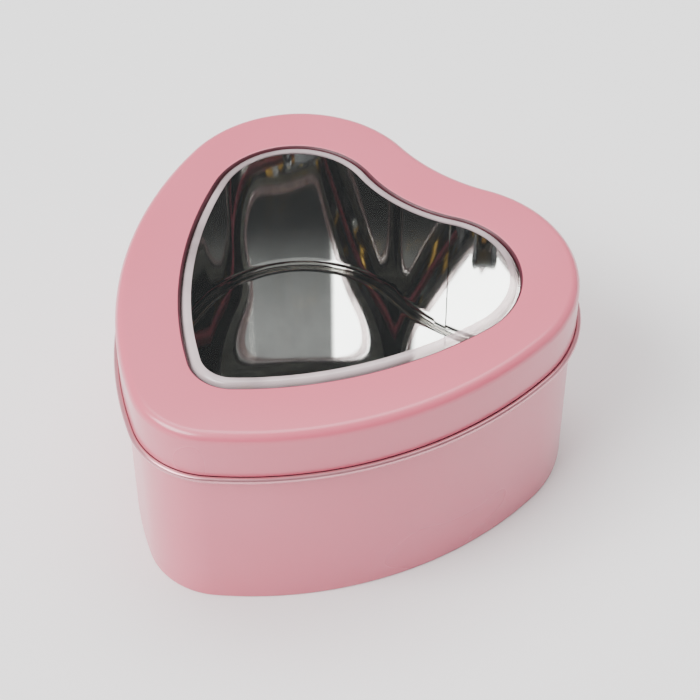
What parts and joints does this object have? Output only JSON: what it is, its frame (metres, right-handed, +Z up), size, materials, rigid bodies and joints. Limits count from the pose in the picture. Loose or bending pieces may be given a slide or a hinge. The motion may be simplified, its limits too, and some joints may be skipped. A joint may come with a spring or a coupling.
{
  "type": "heart window tin music box",
  "caption": "Heart-shaped pink enamelled tin with a lift-off window lid and a key-wound comb-and-cylinder music movement under it.",
  "frame": {"origin": "on the table under the centre of the closed tin", "axes": "+Z up, the heart's tip towards -Y, its cleft towards +Y"},
  "size_m": [0.1, 0.1013, 0.0534],
  "materials": {
    "pink_enamel": "satin",
    "clear_plastic": "gloss",
    "clear_glue": "matte",
    "tinplate": "polished",
    "zinc_casting": "satin",
    "plated_screw": "satin",
    "brass": "satin",
    "spring_steel": "satin",
    "steel": "satin",
    "nickel": "polished",
    "lead": "matte",
    "fan_plastic": "matte"
  },
  "bodies": {
    "tin_body": {"body_wall": "pink_enamel", "floor_pan": "tinplate", "bedplate_casting": "zinc_casting", "movement_screws": "plated_screw", "movement_washers": "tinplate", "barrel_bridge": "zinc_casting", "bridge_posts": "steel", "bridge_screws": "plated_screw", "click_spring": "spring_steel", "click_screw": "plated_screw", "left_bearing_bracket": "brass", "right_bearing_bracket": "brass", "bracket_screws": "plated_screw", "comb": "steel", "comb_base": "zinc_casting", "comb_screws": "plated_screw", "comb_tuning_weights": "lead", "governor_frame": "zinc_casting", "governor_screws": "plated_screw"},
    "lid": {"lid_shell": "pink_enamel", "window_adhesive_ring": "clear_glue", "window_pane": "clear_plastic"},
    "spring_barrel": {"great_wheel": "brass", "spring_drum": "brass", "drum_cover": "brass", "mainspring": "spring_steel"},
    "winding_gear": {"winding_arbor": "steel", "winding_key": "nickel", "ratchet_wheel": "steel"},
    "click_lever": {"click": "steel"},
    "cylinder": {"music_cylinder": "brass", "cylinder_pins": "steel", "cylinder_arbor": "steel", "cylinder_pinion": "brass", "cylinder_wheel": "brass"},
    "transfer_gear": {"transfer_arbor": "steel", "transfer_pinion": "steel", "worm_wheel": "brass"},
    "air_brake": {"governor_worm": "steel", "governor_fan": "fan_plastic"}
  },
  "joints": [
    {"name": "lid_lift", "type": "slide", "parent": "tin_body", "child": "lid", "axis": [0, 0, 1], "range_m": [0, 0.06]},
    {"name": "winding_turn", "type": "hinge", "parent": "tin_body", "child": "winding_gear", "pos_m": [0.02129, -0.00164, 0.0138], "axis": [0, 0, 1], "range_deg": [0, 1440]},
    {"name": "barrel_turn", "type": "hinge", "parent": "tin_body", "child": "spring_barrel", "pos_m": [0.02129, -0.00164, 0.0138], "axis": [0, 0, 1], "continuous": true},
    {"name": "cylinder_turn", "type": "hinge", "parent": "tin_body", "child": "cylinder", "pos_m": [0.00457, -0.01669, 0.0138], "axis": [-0.7431, -0.6691, 0], "continuous": true},
    {"name": "transfer_turn", "type": "hinge", "parent": "tin_body", "child": "transfer_gear", "pos_m": [-0.00129, -0.0326, 0.01666], "axis": [-0.7431, -0.6691, 0], "continuous": true},
    {"name": "air_brake_turn", "type": "hinge", "parent": "tin_body", "child": "air_brake", "pos_m": [0.00215, -0.03791, 0.0143], "axis": [0, 0, 1], "continuous": true},
    {"name": "click_pivot", "type": "hinge", "parent": "tin_body", "child": "click_lever", "pos_m": [0.02865, -0.00264, 0.0215], "axis": [0, 0, -1], "range_deg": [0, 9], "stiffness_Nm_per_rad": 0.0008, "springref_deg": -11.46}
  ],
  "couplings": [
    {"joint": "cylinder_turn", "follows": "barrel_turn", "ratio": 3},
    {"joint": "transfer_turn", "follows": "barrel_turn", "ratio": -15},
    {"joint": "air_brake_turn", "follows": "barrel_turn", "ratio": 300}
  ]
}
